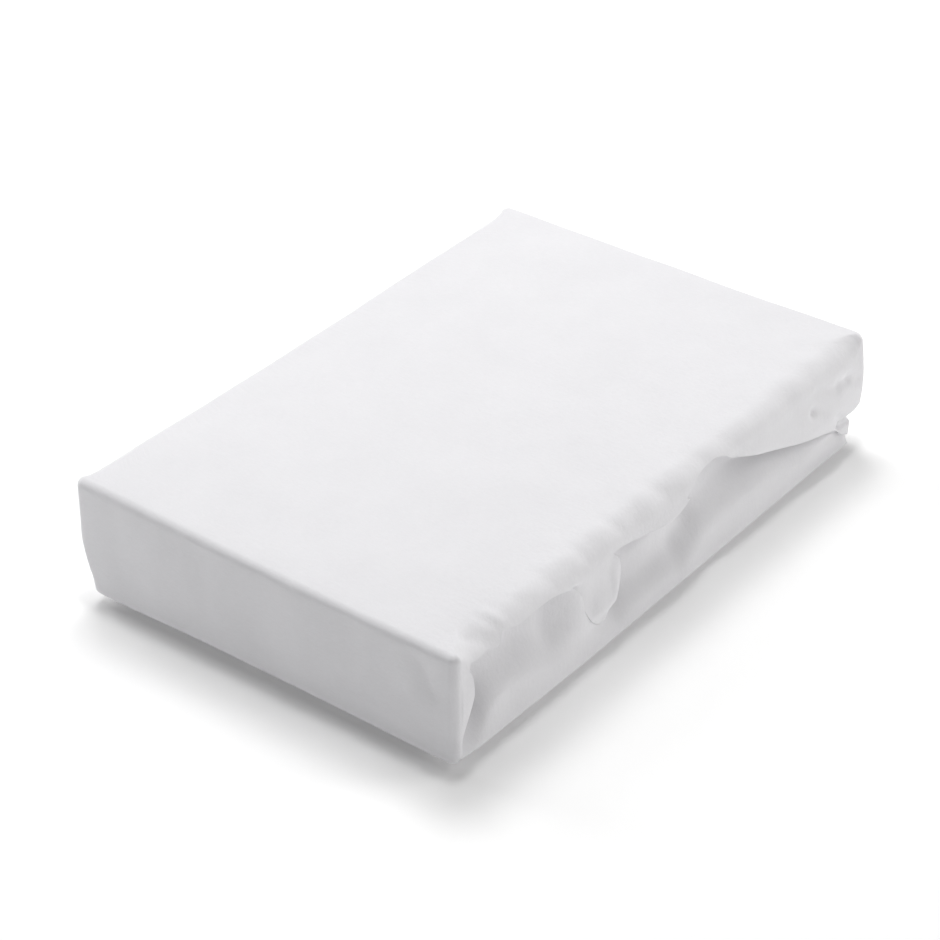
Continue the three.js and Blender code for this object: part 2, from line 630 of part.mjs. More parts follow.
const cloth = solidOf(coverSkin().geometry()).add(solidOf(stackSkin().geometry())).simplify(JOIN_SLIVER);
const clothGeometry = geometryOf(cloth);
clothGeometry.computeBoundingBox();
const middle = clothGeometry.boundingBox.getCenter(new THREE.Vector3());
clothGeometry.translate(-middle.x, -middle.y, 0);

const brushedCotton = new THREE.MeshStandardMaterial({ color: CLOTH_COLOUR, roughness: 0.95, metalness: 0 });
const protector = new THREE.Mesh(clothGeometry, brushedCotton);
protector.name = "folded_protector";

const packet = new THREE.Group();
packet.add(protector);
export default packet;
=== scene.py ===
"""A folded mattress protector of soft brushed cotton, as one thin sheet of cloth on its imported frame.

The cover is smooth over the top and down the front, and hangs with a wavy hem on the other sides. At
the foot of the front the same cloth turns under, stands up as a flap on both long sides, and goes back
and forth inside. Sizes in the tables are millimetres, with x from the front, y from the open side and
down from the top. The mesh is in metres, in the frame's own place.
"""

import math

import bpy
from bpy.props import FloatProperty, FloatVectorProperty, PointerProperty
from mathutils import Matrix, Vector, noise


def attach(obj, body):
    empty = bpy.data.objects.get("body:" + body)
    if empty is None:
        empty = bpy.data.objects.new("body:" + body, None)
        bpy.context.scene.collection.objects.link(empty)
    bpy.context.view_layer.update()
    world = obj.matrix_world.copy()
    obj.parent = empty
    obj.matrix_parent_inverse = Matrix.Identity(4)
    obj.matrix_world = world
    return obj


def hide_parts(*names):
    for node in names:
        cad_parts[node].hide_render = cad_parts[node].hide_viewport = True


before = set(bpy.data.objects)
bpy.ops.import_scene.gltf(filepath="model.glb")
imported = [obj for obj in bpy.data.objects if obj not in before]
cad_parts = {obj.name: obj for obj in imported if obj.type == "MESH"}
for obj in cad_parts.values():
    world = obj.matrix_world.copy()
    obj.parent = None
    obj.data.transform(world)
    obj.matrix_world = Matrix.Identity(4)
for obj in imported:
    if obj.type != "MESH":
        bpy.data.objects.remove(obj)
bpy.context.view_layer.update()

NODE = "folded_protector"
BODY = "root"

bl_info = {
    "name": "Folded mattress protector",
    "version": (1, 0, 0),
    "blender": (4, 5, 0),
    "location": "View3D > Sidebar > Protector",
    "description": "Makes a folded mattress protector of brushed cotton and a pale studio for it",
    "category": "Object",
}

MM = 0.001

# The neat packet's middle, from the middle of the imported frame
SHIFT = (-2.05, 1.49)

# The cover's corners seen from above, and the roll of its top edge on each side
PLAN_CORNER = 5.0
INNER_CORNER = 0.8
OPEN_EDGE = 12.6
OPEN_SAG = (3.6, 27.0, 17.0)  # how much wider the roll is near the front, at x, half width
BACK_EDGE = 4.0
FAR_EDGE = 9.0
FRONT_EDGE = 4.5
SAG_REACH = 31.5  # how far in from the outline that still shows
SAG_EASE = 16.0
EDGE_EASE = 16.0
HEM_TAIL = 1.2
PANEL_INSETS = (108, 94, 81, 69, 58, 48, 39, 31.5, 26, 22.5, 20, 17.8, 15.8, 14.2)
SPINE_POINTS = 15
EDGE_ROWS = 9
SKIRT_ROWS = 24
CORNER_STEPS = 8
HEM_EASE = 9.0  # how far from the hem the cloth starts to thin
SKIRT_CROWDING = 0.1  # how much closer its rows lie near the hem
STEEPEST = 2.6  # how many times the gentler side's slope a hem's curve may take

# The front, where the cover turns under
JOIN_HEIGHT = 14.0
FOOT_RADIUS = 3.5
FOOT_STEPS = 7
FRONT_STEP = 3.4
JOIN_ROWS = (12.2, 10.4, 8.6, 6.8, 5.1)  # heights, from the join down to the foot
UNDER_ROWS = (5.2, 6.9, 8.6, 10.4)  # places from the front, just past the foot
UNDER_START = 12.4  # where the bottom ply's even rows start
FOOT_EASE = 22.0  # how far from the front the foot's radius is that of the sides
NEAR_FLAP = 9.0  # how far from a front corner the cover keeps its full thickness, down low

# The hem of each side: where a thread leaves the top edge, where it ends, how far down, how much it
# curls under. Each table starts and ends at a corner of the cover.
OPEN_HEM = (
    (5, 5, 55.5, 0),
    (6.3, 6, 51.5, 0),
    (7.3, 8.6, 45, 0),
    (8.2, 12, 36, 0),
    (8.9, 13.8, 28.5, 0),
    (9.6, 13, 20, 0),
    (10.9, 11.2, 12.5, 0),
    (12.6, 12.8, 9.6, 0),
    (18, 18, 10.6, 0),
    (26, 26, 10.4, 0),
    (31, 31, 11.8, 0),
    (34.4, 34.8, 12.8, 0),
    (36.2, 36.6, 10, 0),
    (38.4, 38.2, 7.4, 0),
    (44, 44, 8.2, 0),
    (51, 51, 9.2, 0),
    (63, 63, 8.8, 0),
    (75, 75, 9.2, 0),
    (86, 86, 11.4, 0),
    (94, 94, 15, 0),
    (101, 100, 24, 0),
    (107, 106, 37, 0),
    (112.5, 112, 47, 0),
    (117.6, 120, 53, 0),
    (121, 126, 50.5, 0),
    (122.3, 127.6, 43, 0),
    (123, 129.2, 35.5, 0),
    (124, 131.6, 29, 0),
    (125, 131.9, 22, 0),
    (126.2, 130.4, 16, 0),
    (127.8, 128.9, 11.9, 0),
    (133, 133.4, 11.3, 0),
    (140, 140, 12.6, 0),
    (150, 150, 15, 0),
    (162, 162, 17.4, 0),
    (174, 175, 19, 0),
    (184, 187, 17.4, 0),
    (192, 195.6, 12.6, 0),
    (200, 202, 8.2, 0),
    (209, 209, 6.2, 0),
    (219, 219, 5.8, 0),
    (226, 226.4, 7.4, 0),
    (233, 234, 11.8, 0),
    (243, 244, 16.8, 0),
    (255, 255, 21.8, 0),
    (270, 270, 27.6, 0),
    (285, 285, 33.4, 0),
    (300, 300, 38.6, 0),
    (315, 315, 43, 0),
    (330, 329, 48, 0),
    (341, 340, 53, 0),
    (350, 349, 57.5, 0),
    (357, 357, 60.5, 0),
)
BACK_HEM = (
    (5, 5, 60.5, 0),
    (12, 12, 57.5, 0.1),
    (24, 24, 49, 0.5),
    (44, 44, 46, 0.9),
    (80, 81, 47.5, 1),
    (119, 119, 46.5, 1),
    (158, 157, 45, 1),
    (198, 198, 46.5, 0.9),
    (226, 226, 46, 0.5),
    (235, 235, 46, 0.3),
)
FAR_HEM = (
    (5, 5, 45, 0.1),
    (9, 9, 44, 0),
    (18, 19, 38, 0),
    (32, 34, 27, 0),
    (50, 52, 20, 0),
    (75, 76, 17, 0),
    (105, 105, 21, 0),
    (135, 134, 25, 0),
    (165, 165, 20, 0),
    (195, 196, 16, 0),
    (225, 225, 18, 0),
    (255, 254, 23, 0),
    (285, 285, 20, 0),
    (312, 312, 17, 0),
    (330, 329, 19, 0),
    (341, 338, 29, 0),
    (347, 344, 40, 0),
    (351, 350, 50, 0),
    (357, 357, 55.5, 0),
)
HEM_STEPS = {"open": 2.0, "back": 4.4, "far": 4.0}
CURL_RADIUS = 5.5
CURL_TURN = math.radians(130)

# Swells of the cover's open side: x, down, half width, half height, out
COVER_SWELLS = (
    (9, 26, 8, 13, 0.8),
    (122, 34, 10, 18, 1.4),
    (127, 28, 5, 18, 1.4),
    (176, 17, 22, 8, 1.4),
    (262, 18, 34, 12, 1.2),
    (318, 30, 24, 15, 2.4),
)
TONGUE_SUNK = ((100, 121), (40, 51), (84, 97), -1.4)  # x, down, x, off the flap by
TONGUE_LIES = 112.0  # beyond this x it no longer follows the flap in
TONGUE_PAST = 150.0  # and beyond this one it is over

# Creases and dimples of the cover: from x, y, down, to x, y, down, half width, deep. A ridge is less
# than nothing deep.
COVER_CREASES = (
    ((33, 14, 0), (35.6, 8.4, 0.3), 2, 0.7),
    ((35.6, 8.4, 0.3), (37, 1, 5), 2, 0.45),
    ((39, 12, 0), (41.5, 4, 2.2), 2.6, -0.5),
    ((14, 15, 0), (20, 6.4, 1), 3, 0.5),
    ((20, 6.4, 1), (26.5, 1.9, 4.2), 2.6, 0.6),
    ((24, 8, 0.5), (24, 8, 0.5), 9, 0.5),
    ((43.6, 13, 0), (47, 10, 0.2), 3.6, 0.4),
    ((52.7, 12.8, 0), (56, 6, 1.2), 3.4, 0.4),
    ((63, 8, 0.8), (67, 3, 4), 5, -0.4),
    ((79, 9, 0.5), (80, 2, 5), 5.4, 0.5),
    ((95, 9, 0.5), (99, 2, 5), 4, -0.3),
    ((106, 10, 0.4), (108, 2, 5), 4, 0.6),
    ((124, 8, 0.8), (126, 2, 5), 7, -0.5),
    ((134, 10, 0.4), (137, 2, 5), 4, 0.6),
    ((160, 8, 0.8), (162, 2, 5), 8, -0.5),
    ((172, 10, 0.4), (177, 2, 5), 4.4, 0.5),
    ((190, 8, 0.8), (193, 2, 5), 7, -0.4),
    ((207, 9, 0.5), (211, 2, 4), 5.4, 0.5),
    ((231, 9, 0.5), (239, 0, 8), 6.4, 0.5),
    ((252, 6, 1.8), (264, 0, 14), 7, -0.5),
    ((280, 7, 1.4), (292, 0, 14), 5.6, 0.6),
    ((335, 0, 19), (344, 0, 21), 3.4, 1.58),
    ((344, 0, 21), (352, 0, 26), 3.6, 1.3),
    ((309.5, 0, 24), (311, 0, 25.5), 2.3, 2.4),
    ((312, 0, 25.5), (320, 0, 31), 4, 1.1),
    ((314, 0, 14), (333, 0, 22), 4.6, 1.3),
    ((333, 0, 40), (345, 0, 50), 3.2, 1.73),
    ((324, 0, 33), (334, 0, 38), 7, -0.8),
    ((0, 20, 14), (0, 16, 26), 7, 1.2),
    ((0, 62, 8), (0, 64, 48), 6, 0.5),
    ((0, 96, 6), (0, 93, 52), 5, -0.4),
    ((0, 118, 8), (0, 122, 50), 6, 0.5),
    ((0, 158, 10), (0, 155, 54), 6, 0.5),
    ((0, 186, 6), (0, 190, 44), 5, -0.4),
    ((0, 214, 8), (0, 211, 50), 5, 0.5),
)
# The tuck of the cover's corner at the open side's back: how far back it goes, from down, to down, its
# pinch and the pinch's place and half height, from x, to x, up to y
CORNER_TUCK = (7.4, 44.0, 51.0, 3.4, 50.0, 2.2, 335.0, 354.0, 26.0)
CREASE_REACH = 2.6  # how many half widths off a crease still has some of it
# The slight unevenness of the cover: deep and long for the broad kind, deep and long for the small one
BROAD_WAVES = (0.5, 46.0)
SMALL_WAVES = (0.12, 13.0)
# How much deeper the small kind is along the open edge: by, at down, half height, from y, over
EDGE_WAVES = (0.45, 4.0, 16.0, 4.0, 30.0)
WAVES_SHIFT = Vector((7, 3, 1))

# The flap on the open side and the one on the far side
FLAP_FOOT = 5.0
SIDE_FOOT = 2.7  # the foot's radius away from the front
OPEN_FLAP = 60.0
FAR_FLAP = 24.0
FLAP_END = 352.0
FLAP_STEP = 2.6
FLAP_FRONT = 14.0  # the flap's threads spread out from the front corner up to here
FLAP_FAN = 6.6  # and the first of them leans out to this x
FLAP_ROWS = {"open": 24, "far": 8}
FLAP_LEAN = (-2.6, 10.0, 20.0, 12.0, 34.0)  # by, at x, half width, from z, to z
FAR_RECESS = (2.6, 4.0, 16.0)  # by, from z, to z
BACK_RECESS = (2.6, 300.0, 330.0)  # by, from x, to x
HOLLOW_START = 8.0
BAND_LEAN = 0.085  # how much the open side's flap leans in, for each of its height
BAND_RISE = (-5.0, 18.0)  # and where it goes in further, from the top of its lower band
BAND_DEEP = 8.2
TONGUE_BACK = (0.86, 103.0, 17.0, 12.0, 26.0)  # how much less, at x, half width, from z, to z
# The top of that lower band: x, z
BAND = (
    (5, 3),
    (14, 5),
    (21, 10),
    (28, 20),
    (36, 25),
    (48, 26),
    (60, 25),
    (72, 21.5),
    (87, 19),
    (104, 20),
    (121, 15),
    (137, 11),
    (156, 14),
    (174, 14),
    (190, 11.5),
    (201, 16),
    (211, 22),
    (231, 25),
    (250, 26),
    (270, 25),
    (289, 22),
    (310, 18),
    (327, 16),
    (352, 16),
)
# Hollows of the flap: x, z, half width, half height, in
FLAP_HOLLOWS = (
    (13, 40, 11, 20, 6.6),
    (26, 54, 18, 9, 4.2),
    (50, 52, 18, 7, 1.5),
    (57, 42, 12, 8, 1.2),
    (70, 33, 8, 8, -0.7),
    (80, 37, 5, 13, 1.1),
    (134, 32, 6.5, 17, 4.8),
    (150, 40, 9, 10, 1.0),
    (168, 36, 14, 8, -0.6),
    (165, 48, 26, 8, 2.4),
    (262, 40, 26, 10, 2.2),
    (172, 22, 18, 4.5, 1.4),
    (204, 36, 6, 9, 2.2),
    (190, 20, 6, 8, 1.4),
    (45, 14, 9, 7, 0.7),
    (88, 10, 8, 5, -0.5),
    (132, 6, 9, 4, -0.4),
    (222, 12, 10, 9, 0.6),
    (262, 16, 14, 10, -0.5),
)

# The folded plies inside
PASSES = 20
STACK_INSET = 14.5
OPEN_INSET = 25.0
FOLD_STEPS = 6
PASS_STEPS = 8
UNDER_LINES = 13
FRONT_FOLDS = (11, 5.2, 4.4, 3.8, 4.6, 3.9, 5.0, 4.2, 3.8)
BACK_FOLDS = (358.5, 359.5, 342, 347.5, 354, 355.6, 353.4, 355.8, 354.2, 355.2)
FREE_END = 118.0
PLY_WAVES = (1.6, 70.0, 2.2, 3.7)  # how uneven the plies' long ends are, along, up, apart
BULB = {"fold": 1, "radius": 2.3, "run": 8.0, "slope": -0.2}

# The slump of the real packet
CROWN = 1.0
FRONT_LIFT = (6.4, 58.0, 96.0)  # by, over, and how much further at the sides
FRONT_CORNERS = (0.72, 0.7, 0.3, 1.0)  # its share at the open and far corner; the far share's start, end
SIDE_LIFT = (2.6, 42.0)  # by, over
CORNER_RISE = ((-180, 119, 3.4, 100), (180, -119, 1.2, 60))  # x, y, by, over
BACK_BULGE = (2.0, 36.0, 26.0, 34.0)  # by, z, half height, over
SIDE_BULGE = (2.2, 38.0, 24.0, 352.0, 46.0)  # by, z, half height, x, half width
FAR_TUCK = (7.0, 34.0, 30.0)  # by, up to z, over


def clamp01(t):
    return min(1.0, max(0.0, t))


def smooth(t):
    t = clamp01(t)
    return t * t * (3 - 2 * t)


def mix(a, b, t):
    return a + (b - a) * t


def bell(d, size):
    return math.exp(-((d / size) ** 2))


def ease(at, start, end):
    return smooth((at - start) / (end - start))


def smooth_curve(rows, knots):
    """A function of a place on the knots that passes smoothly through the rows."""

    def slope(i):
        if i == 0 or i == len(rows) - 1:
            j = min(i, len(rows) - 2)
            return [(b - a) / (knots[j + 1] - knots[j]) for a, b in zip(rows[j], rows[j + 1])]
        before, after = knots[i] - knots[i - 1], knots[i + 1] - knots[i]
        found = []
        for a, b, c in zip(rows[i - 1], rows[i], rows[i + 1]):
            left, right = (b - a) / before, (c - b) / after
            middle = (left * after + right * before) / (before + after)
            if left * right <= 0:
                middle = 0.0
            most = STEEPEST * min(abs(left), abs(right))
            found.append(max(-most, min(most, middle)))
        return found

    slopes = [slope(i) for i in range(len(rows))]

    def at(place):
        i = 0
        while i < len(knots) - 2 and place > knots[i + 1]:
            i += 1
        span = knots[i + 1] - knots[i]
        t = clamp01((place - knots[i]) / span)
        h1, h2 = t * t * (3 - 2 * t), t * (1 - t) ** 2
        h3 = t * t * (t - 1)
        return [
            mix(a, b, h1) + span * (h2 * m + h3 * n)
            for a, b, m, n in zip(rows[i], rows[i + 1], slopes[i], slopes[i + 1])
        ]

    return at


def hem_threads(rows, step):
    """Threads along one side's hem, no more than a step apart, without its two ends."""
    knots = [0.0]
    for a, b in zip(rows, rows[1:]):
        knots.append(knots[-1] + math.sqrt(math.dist(a[:3], b[:3])))
    at = smooth_curve(rows, knots)
    threads = []
    for i in range(len(rows) - 1):
        apart = max(math.dist(rows[i][1:3], rows[i + 1][1:3]), rows[i + 1][0] - rows[i][0])
        count = max(1, math.ceil(apart / step))
        for k in range(count):
            if i or k:
                threads.append(at(mix(knots[i], knots[i + 1], k / count)))
    return threads


band_top = smooth_curve(BAND, [row[0] for row in BAND])


def line_distance(point, a, b):
    """How far a point is from the line between two others."""
    along = b - a
    t = clamp01((point - a).dot(along) / max(along.length_squared, 1e-6))
    return (point - a - along * t).length


class ClothSheet:
    """A sheet of cloth: each point has its place on the outer face, on the inner face, and on the
    cloth laid flat."""

    def __init__(self):
        self.outer = []
        self.inner = []
        self.flat = []
        self.faces = []

    def row(self, points):
        first = len(self.outer)
        for outer, inner, flat in points:
            self.outer.append(outer)
            self.inner.append(inner)
            self.flat.append(flat)
        return list(range(first, len(self.outer)))

    def weave(self, a, b, closed=False):
        """Faces between two rows of as many points."""
        count = len(a)
        for k in range(count if closed else count - 1):
            n = (k + 1) % count
            self.faces.append((a[k], b[k], b[n], a[n]))

    def spread(self, a, b, places_a, places_b):
        """Faces between two rows whose points differ in number, side by side by their places."""
        i = j = 0
        while i < len(a) - 1 or j < len(b) - 1:
            next_a = places_a[i + 1] if i < len(a) - 1 else math.inf
            next_b = places_b[j + 1] if j < len(b) - 1 else math.inf
            if next_a <= next_b:
                self.faces.append((a[i], b[j], a[i + 1]))
                i += 1
            else:
                self.faces.append((a[i], b[j], b[j + 1]))
                j += 1

    def close_panel(self, ring, spine):
        """Faces from a closed ring to a line along its middle."""
        xs = [self.outer[p][0] for p in spine]

        def nearest(point):
            x = self.outer[point][0]
            return min(range(len(xs)), key=lambda i: abs(xs[i] - x))

        for k, point in enumerate(ring):
            after = ring[(k + 1) % len(ring)]
            i, j = nearest(point), nearest(after)
            step = 1 if j >= i else -1
            line = [spine[m] for m in range(j, i - step, -step)] if i != j else [spine[i]]
            self.faces.append((point, after, *line))


class Packet:
    """The shape of the packet, in millimetres, from the sizes in the panel."""

    def __init__(self, sizes):
        self.length = sizes.length / MM
        self.width = sizes.width / MM
        self.height = sizes.height / MM
        self.ply = sizes.ply / MM
        self.hem = sizes.hem / MM
        self.pitch = self.ply + sizes.air / MM
        self.front_drop = self.height - JOIN_HEIGHT
        self.creases = [(Vector(a), Vector(b), wide, by) for a, b, wide, by in COVER_CREASES]
        self.sheet = ClothSheet()

    # The slump

    def settle(self, point):
        x, y, z = point
        up = z / self.height
        front = x + self.length / 2
        across = abs(y) / (self.width / 2)
        along = abs(x) / (self.length / 2)
        crown = CROWN * ((1 - across**4) * (1 - along**4) - 0.4) * up
        lift_over = FRONT_LIFT[1] + FRONT_LIFT[2] * across**3
        near, far, start, end = FRONT_CORNERS
        kept = mix(1, near, across**2) if y < 0 else mix(1, far, ease(across, start, end))
        front_lift = FRONT_LIFT[0] * kept * (1 - smooth(front / lift_over))
        side_lift = SIDE_LIFT[0] * (1 - smooth((self.width / 2 - abs(y)) / SIDE_LIFT[1]))
        lift = math.hypot(front_lift, side_lift) * (1 - up)
        rise = sum(by * bell(math.hypot(x - cx, y - cy), over) * up for cx, cy, by, over in CORNER_RISE)
        near_back = bell(x - self.length / 2, BACK_BULGE[3])
        near_open = (1 - y / (self.width / 2)) / 2
        back = BACK_BULGE[0] * near_back * bell(z - BACK_BULGE[1], BACK_BULGE[2]) * near_open
        near_corner = bell(front - SIDE_BULGE[3], SIDE_BULGE[4]) * max(0.0, -y / (self.width / 2)) ** 3
        side = SIDE_BULGE[0] * near_corner * bell(z - SIDE_BULGE[1], SIDE_BULGE[2])
        near_far = smooth((y - self.width / 2 + FAR_TUCK[2]) / FAR_TUCK[2])
        near_front = 1 - smooth(front / (2 * FAR_TUCK[2]))
        tuck = FAR_TUCK[0] * near_far * near_front * (1 - smooth(z / FAR_TUCK[1]))
        return (x + back + SHIFT[0], y - side - tuck + SHIFT[1], z + crown + rise + lift)

    # The cover

    def threads(self):
        """The cover's threads, once round, from the back corner on the open side."""
        found = []
        length, width = self.length, self.width

        def side(name, size, hem, edge, place):
            for top, foot, drop, curl in hem:
                near = min(top, size - top) / EDGE_EASE
                roll = mix(FRONT_EDGE, edge, smooth(near))
                sag = 0.0
                if name == "open":
                    sag = OPEN_SAG[0] * bell(top - OPEN_SAG[1], OPEN_SAG[2]) * smooth(near)
                found.append(
                    {
                        "side": name,
                        "sag": sag,
                        "size": size,
                        "along": top,
                        "lean": foot - top,
                        "drop": drop,
                        "roll": roll + sag,
                        "curl": curl,
                        "place": place,
                    }
                )

        def corner(quarter, start, end):
            for i in range(CORNER_STEPS + 1):
                t = i / CORNER_STEPS
                found.append(
                    {
                        "side": "corner",
                        "angle": (quarter + t) * math.pi / 2,
                        "quarter": quarter,
                        "sag": 0.0,
                        "lean": 0.0,
                        "drop": mix(start[2], end[2], smooth(t)),
                        "roll": FRONT_EDGE,
                        "curl": mix(start[3], end[3], t),
                    }
                )

        half_l, half_w = length / 2, width / 2
        back = hem_threads(BACK_HEM, HEM_STEPS["back"])
        far = hem_threads(FAR_HEM, HEM_STEPS["far"])
        open_side = hem_threads(OPEN_HEM, HEM_STEPS["open"])
        first, last = PLAN_CORNER + 1, width - PLAN_CORNER - 1
        count = round((last - first) / FRONT_STEP)
        tops = [mix(first, last, i / count) for i in range(count + 1)]
        front = [(top, top, self.front_drop, 0) for top in tops]
        corner(3, OPEN_HEM[-1], BACK_HEM[0])
        side("back", width, back, BACK_EDGE, lambda a, d: (half_l - d, a - half_w, 1, 0))
        corner(0, BACK_HEM[-1], FAR_HEM[0])
        side("far", length, far, FAR_EDGE, lambda a, d: (half_l - a, half_w - d, 0, 1))
        arc_from = len(found)
        corner(1, FAR_HEM[-1], (0, 0, self.front_drop, 0))
        side("front", width, front, FRONT_EDGE, lambda a, d: (d - half_l, half_w - a, -1, 0))
        corner(2, (0, 0, self.front_drop, 0), OPEN_HEM[0])
        arc_to = len(found)
        side("open", length, open_side, OPEN_EDGE, lambda a, d: (a - half_l, d - half_w, 0, -1))
        return found, arc_from, arc_to

    def plan_point(self, thread, inset):
        """Where a thread is in plan, moved in from the outline, and its outward direction."""
        radius = max(PLAN_CORNER - inset, INNER_CORNER)
        reach = inset + radius
        if thread["side"] != "corner":
            size = thread["size"]
            t = (thread["along"] - PLAN_CORNER) / (size - 2 * PLAN_CORNER)
            return thread["place"](mix(reach, size - reach, t), inset)
        nx, ny = math.cos(thread["angle"]), math.sin(thread["angle"])
        diagonal = (thread["quarter"] + 0.5) * math.pi / 2
        cx = math.copysign(self.length / 2 - reach, math.cos(diagonal))
        cy = math.copysign(self.width / 2 - reach, math.sin(diagonal))
        return cx + radius * nx, cy + radius * ny, nx, ny

    def full_turn(self, thread):
        cut = 1 - (thread["drop"] - HEM_TAIL) / thread["roll"]
        return math.acos(cut) if cut > 0 else math.pi / 2

    def edge_point(self, thread, share, deep):
        turn = share * self.full_turn(thread)
        roll = thread["roll"]
        x, y, nx, ny = self.plan_point(thread, roll * (1 - math.sin(turn)))
        z = self.height - roll * (1 - math.cos(turn))
        s, c = math.sin(turn), math.cos(turn)
        return x - nx * s * deep, y - ny * s * deep, z - c * deep

    def creased(self, outer, inner):
        """The two points of a thread, moved in or out by the creases near them."""
        outer, inner = Vector(outer), Vector(inner)
        place = Vector((outer.x + self.length / 2, outer.y + self.width / 2, self.height - outer.z))
        deep = 0.0
        for a, b, wide, by in self.creases:
            off = line_distance(place, a, b)
            if off < CREASE_REACH * wide:
                deep += by * bell(off, wide)
        more, at, tall, start, over = EDGE_WAVES
        near_edge = bell(place.z - at, tall) * (1 - smooth((place.y - start) / over))
        deep += BROAD_WAVES[0] * noise.noise(place / BROAD_WAVES[1])
        small = SMALL_WAVES[0] + more * near_edge
        deep += small * noise.noise(place / SMALL_WAVES[1] + WAVES_SHIFT)
        move = (inner - outer).normalized() * deep + self.tucked(place)
        return outer + move, inner + move

    def tucked(self, place):
        """How far the cover's corner at the open side's back goes in low down."""
        by, start, end, pinch, at, tall, from_x, to_x, reach = CORNER_TUCK
        near = 1 - smooth(place.y / reach)
        back = by * ease(place.z, start, end) * ease(place.x, from_x, to_x)
        squeeze = pinch * bell(place.z - at, tall) * ease(place.x, from_x - 6, to_x)
        return Vector((-(back + squeeze) * near, 0.8 * squeeze * near, 0.0))

    def swell(self, x, down):
        return sum(
            out * bell(x - sx, wide) * bell(down - sd, tall)
            for sx, sd, wide, tall, out in COVER_SWELLS
        )

    def on_flap(self, x, down):
        """How far out the open side's cloth hangs there. The tongue's near side lies on the flap."""
        out = self.swell(x, down)
        if x > TONGUE_PAST:
            return out
        over, tip, near, off = TONGUE_SUNK
        lies = max(1 - ease(x, *over), ease(down, *tip)) * ease(x, *near)
        flap = self.hem + off - self.recess(min(x, TONGUE_LIES), self.height - down)
        return mix(out, flap, lies)

    def skirt_length(self, thread):
        if self.full_turn(thread) < math.pi / 2:
            return HEM_TAIL
        curl = thread["curl"] * CURL_RADIUS * CURL_TURN
        return thread["drop"] - thread["roll"] + curl

    def skirt_point(self, thread, share, deep):
        turn = self.full_turn(thread)
        if turn < math.pi / 2:
            x, y, z = self.edge_point(thread, 1, deep)
            _, _, nx, ny = self.plan_point(thread, 0)
            run = share * HEM_TAIL
            out = run * math.cos(turn)
            return x + nx * out, y + ny * out, z - run * math.sin(turn)
        x, y, nx, ny = self.plan_point(thread, 0)
        straight = thread["drop"] - thread["roll"]
        run = share * self.skirt_length(thread)
        down = thread["roll"] + min(run, straight)
        hung = min(1.0, run / straight)
        slide = thread["lean"] * smooth(hung)
        swell = 0.0
        if thread["side"] == "open":
            swell = self.on_flap(thread["along"] + slide, down) * smooth(hung)
        turned = max(0.0, run - straight) / CURL_RADIUS if thread["curl"] > 0 else 0.0
        out = swell - CURL_RADIUS * (1 - math.cos(turned))
        s, c = math.sin(turned), math.cos(turned)
        z = self.height - down - CURL_RADIUS * s
        out -= c * deep
        return x - ny * slide + nx * out, y + nx * slide + ny * out, z + s * deep

    def cover(self):
        """Makes the cover. Gives its last ring's points along the foot of the front."""
        threads, arc_from, arc_to = self.threads()
        held = [arc_from <= k < arc_to for k in range(len(threads))]

        def thickness(k, from_hem):
            thread = threads[k]
            if held[k]:
                return self.ply
            thin = mix(self.hem, self.ply, smooth(from_hem / HEM_EASE))
            near = 0.0
            if thread["side"] in ("open", "far"):
                edge = thread["along"] if thread["side"] == "open" else thread["size"] - thread["along"]
                near = 1 - smooth((edge - PLAN_CORNER) / NEAR_FLAP)
                near *= 1 - smooth((from_hem - 2) / 6)
                near *= 1 - smooth((self.front_drop - thread["drop"]) / 6)
            return mix(thin, self.ply, near)

        def flat(k, out):
            x, y, nx, ny = self.plan_point(threads[k], 0)
            return (x + nx * out, y + ny * out)

        rings = []
        for inset in PANEL_INSETS:
            row = []
            for thread in threads:
                moved = thread["sag"] * smooth((SAG_REACH - inset) / SAG_EASE)
                x, y, _, _ = self.plan_point(thread, inset + moved)
                pair = self.creased((x, y, self.height), (x, y, self.height - self.ply))
                row.append((*pair, (x, y)))
            rings.append(self.sheet.row(row))
        lengths = [self.skirt_length(thread) for thread in threads]
        arcs = [thread["roll"] * self.full_turn(thread) for thread in threads]
        for i in range(EDGE_ROWS + 1):
            share = i / EDGE_ROWS
            row = []
            for k, thread in enumerate(threads):
                deep = thickness(k, lengths[k] + (1 - share) * arcs[k])
                pair = self.edge_point(thread, share, 0), self.edge_point(thread, share, deep)
                row.append((*self.creased(*pair), flat(k, (share - 1) * arcs[k])))
            rings.append(self.sheet.row(row))
        for i in range(1, SKIRT_ROWS + 1):
            share = i / SKIRT_ROWS
            share += SKIRT_CROWDING * math.sin(share * math.pi)
            row = []
            for k, thread in enumerate(threads):
                deep = thickness(k, (1 - share) * lengths[k])
                pair = self.skirt_point(thread, share, 0), self.skirt_point(thread, share, deep)
                row.append((*self.creased(*pair), flat(k, share * lengths[k])))
            rings.append(self.sheet.row(row))
        for a, b in zip(rings, rings[1:]):
            self.sheet.weave(a, b, closed=True)
        spine_end = self.length / 2 - PANEL_INSETS[0] - 2
        spine = []
        for i in range(SPINE_POINTS):
            x = mix(-spine_end, spine_end, i / (SPINE_POINTS - 1))
            spine.append((*self.creased((x, 0, self.height), (x, 0, self.height - self.ply)), (x, 0)))
        self.sheet.close_panel(rings[0], self.sheet.row(spine))
        return rings[-1][arc_from:arc_to]

    # The bottom ply and its flaps

